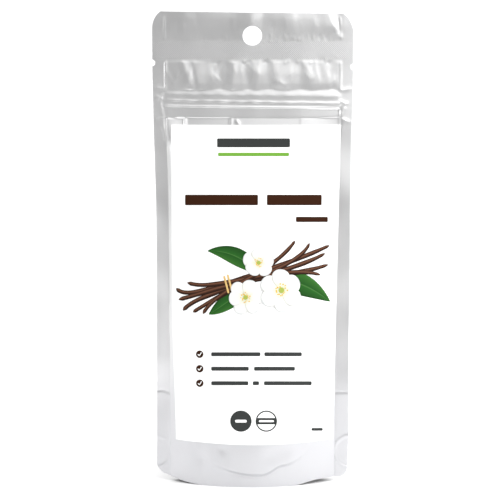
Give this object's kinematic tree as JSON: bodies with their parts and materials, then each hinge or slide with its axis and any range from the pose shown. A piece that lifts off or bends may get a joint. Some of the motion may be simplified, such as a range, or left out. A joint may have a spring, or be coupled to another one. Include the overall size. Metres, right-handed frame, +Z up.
{
  "type": "stand-up pouch",
  "caption": "Shut silver-film stand-up pouch for dry spice, with zip, sealed header, hang hole, bottom gusset and a white front label.",
  "frame": {"origin": "middle of the pouch on the surface it stands on, half way between the side edges and between front and back", "axes": "+Z up, +Y towards the back of the pouch, +X to the right of someone who faces the label"},
  "size_m": [0.088, 0.0267, 0.212],
  "materials": {
    "film": "satin metallised film, lightly creased",
    "label": "smooth matt white label stock with a plain colour print"
  },
  "bodies": {
    "root": {"pouch": "film", "front_label": "label"}
  },
  "joints": []
}
